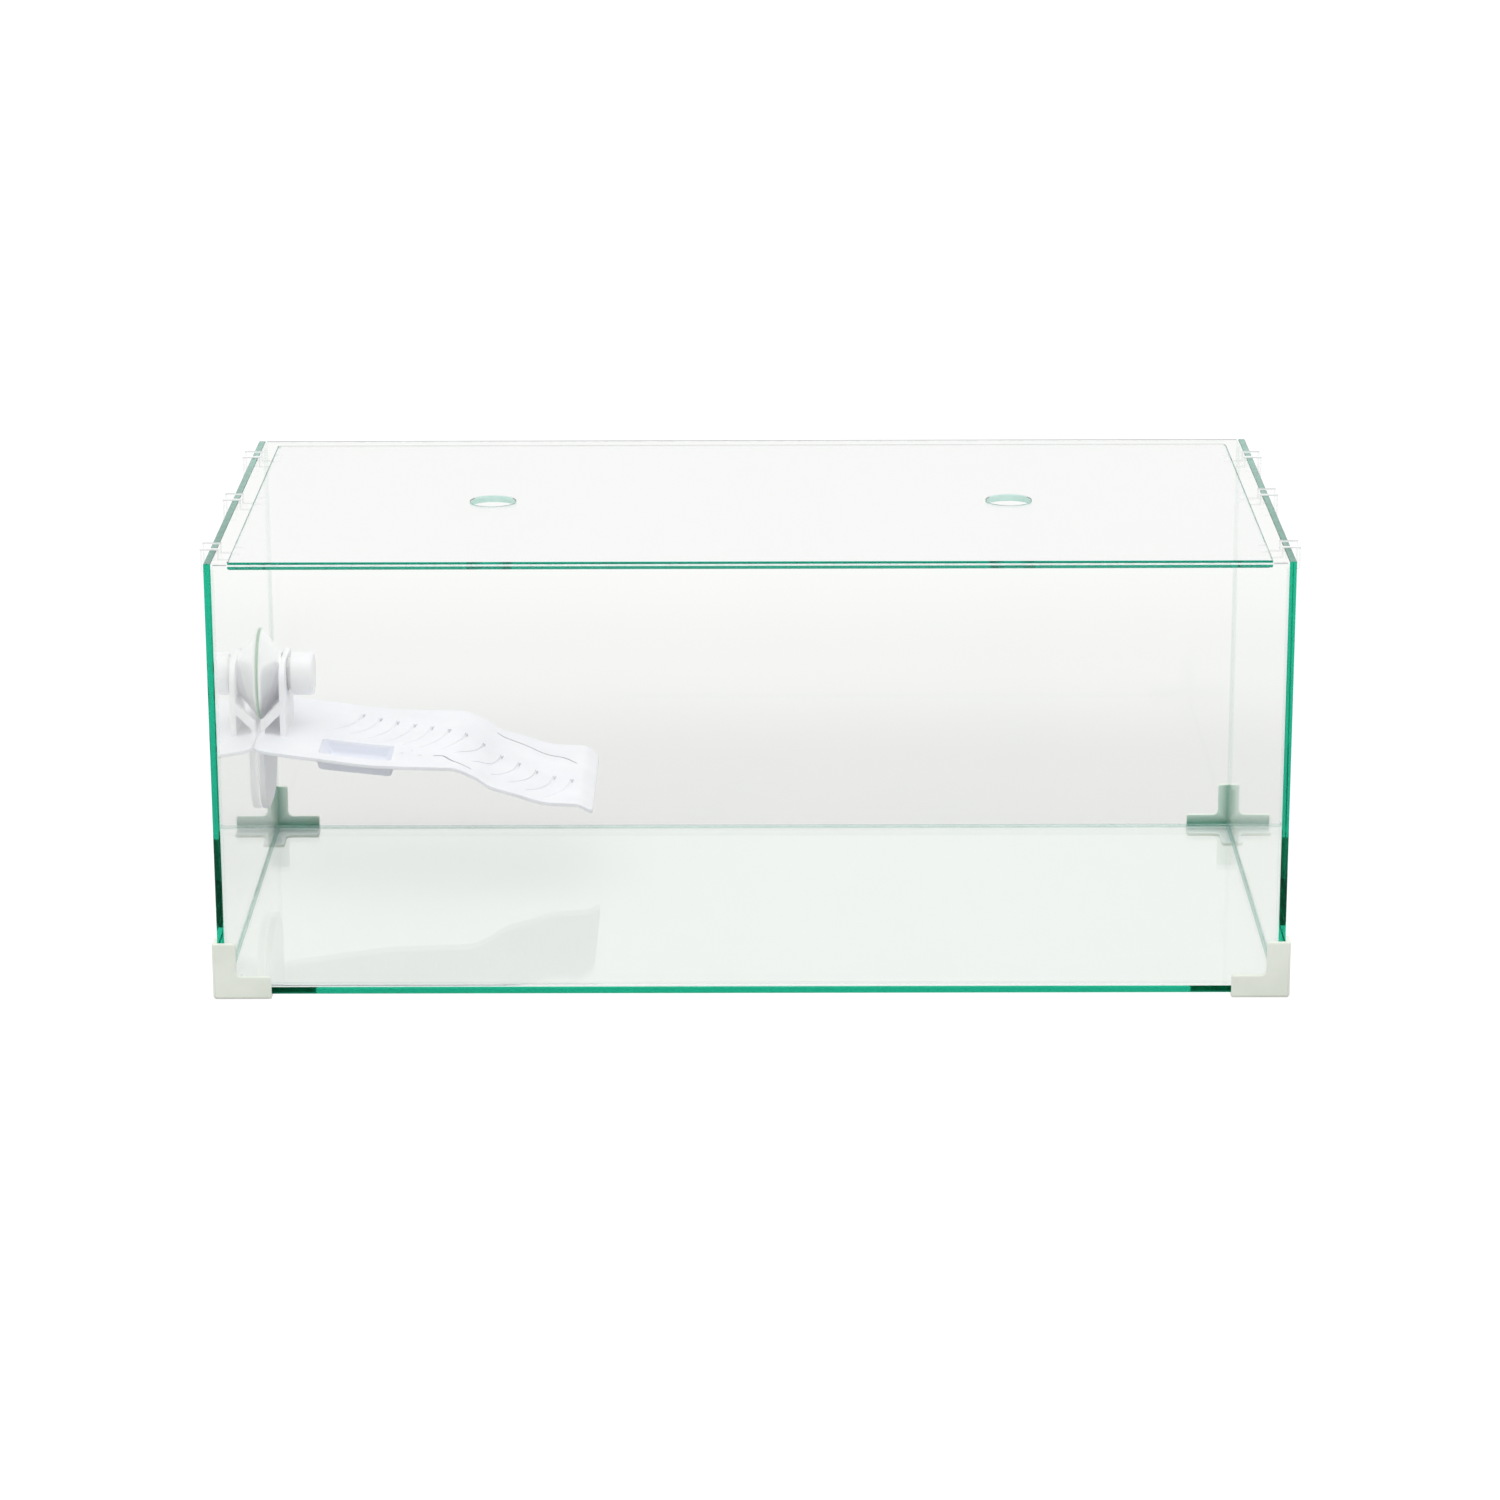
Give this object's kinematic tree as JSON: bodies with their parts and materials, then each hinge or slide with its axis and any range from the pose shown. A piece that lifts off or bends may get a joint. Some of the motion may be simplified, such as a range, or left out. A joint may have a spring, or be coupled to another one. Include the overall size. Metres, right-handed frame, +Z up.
{
  "type": "glass aquarium tank",
  "caption": "Rimless rectangular glass tank with white corner guards, a lift-off glass lid on clear rim clips, and a basking platform with a food trough held to one wall by a suction cup.",
  "frame": {"origin": "middle of the footprint, on the floor plane under the four corner guards", "axes": "+X to the right along the long side, +Y from the front panel to the back panel, +Z up"},
  "size_m": [0.6106, 0.306, 0.2537],
  "materials": {
    "tank_glass": "polished",
    "lid_glass": "polished",
    "silicone": "clear",
    "guard_plastic": "satin",
    "clip_plastic": "clear",
    "cup_vinyl": "satin",
    "stud_plastic": "satin",
    "knob_plastic": "satin",
    "deck_plastic": "satin"
  },
  "bodies": {
    "tank": {"bottom_panel": "tank_glass", "front_panel": "tank_glass", "back_panel": "tank_glass", "left_panel": "tank_glass", "right_panel": "tank_glass", "seam_bottom_front": "silicone", "seam_bottom_back": "silicone", "seam_bottom_left": "silicone", "seam_bottom_right": "silicone", "seam_front_left": "silicone", "seam_front_right": "silicone", "seam_back_left": "silicone", "seam_back_right": "silicone", "guard_front_left": "guard_plastic", "guard_front_right": "guard_plastic", "guard_back_left": "guard_plastic", "guard_back_right": "guard_plastic"},
    "lid": {"lid_glass": "lid_glass"},
    "clip_left_front_body": {"clip_left_front": "clip_plastic"},
    "clip_left_middle_body": {"clip_left_middle": "clip_plastic"},
    "clip_left_back_body": {"clip_left_back": "clip_plastic"},
    "clip_right_front_body": {"clip_right_front": "clip_plastic"},
    "clip_right_middle_body": {"clip_right_middle": "clip_plastic"},
    "clip_right_back_body": {"clip_right_back": "clip_plastic"},
    "cup": {"suction_cup": "cup_vinyl", "cup_stud": "stud_plastic"},
    "platform": {"basking_deck": "deck_plastic"},
    "knob": {"lock_knob": "knob_plastic"}
  },
  "joints": [
    {"name": "lid_lift", "type": "slide", "parent": "tank", "child": "lid", "axis": [0, 0, 1], "range_m": [0, 0.15]},
    {"name": "slide_clip_left_front", "type": "slide", "parent": "tank", "child": "clip_left_front_body", "axis": [0, 1, 0], "range_m": [-0.02, 0.05]},
    {"name": "slide_clip_left_middle", "type": "slide", "parent": "tank", "child": "clip_left_middle_body", "axis": [0, 1, 0], "range_m": [-0.04, 0.035]},
    {"name": "slide_clip_left_back", "type": "slide", "parent": "tank", "child": "clip_left_back_body", "axis": [0, 1, 0], "range_m": [-0.03, 0.02]},
    {"name": "slide_clip_right_front", "type": "slide", "parent": "tank", "child": "clip_right_front_body", "axis": [0, 1, 0], "range_m": [-0.02, 0.05]},
    {"name": "slide_clip_right_middle", "type": "slide", "parent": "tank", "child": "clip_right_middle_body", "axis": [0, 1, 0], "range_m": [-0.04, 0.035]},
    {"name": "slide_clip_right_back", "type": "slide", "parent": "tank", "child": "clip_right_back_body", "axis": [0, 1, 0], "range_m": [-0.03, 0.02]},
    {"name": "cup_height", "type": "slide", "parent": "tank", "child": "cup", "axis": [0, 0, 1], "range_m": [-0.025, 0.085]},
    {"name": "platform_tilt", "type": "hinge", "parent": "cup", "child": "platform", "pos_m": [-0.281, 0.082, 0.125], "axis": [1, 0, 0], "range_deg": [-12, 2]},
    {"name": "knob_turn", "type": "hinge", "parent": "cup", "child": "knob", "pos_m": [-0.27, 0.082, 0.125], "axis": [1, 0, 0], "range_deg": [0, 360]}
  ]
}
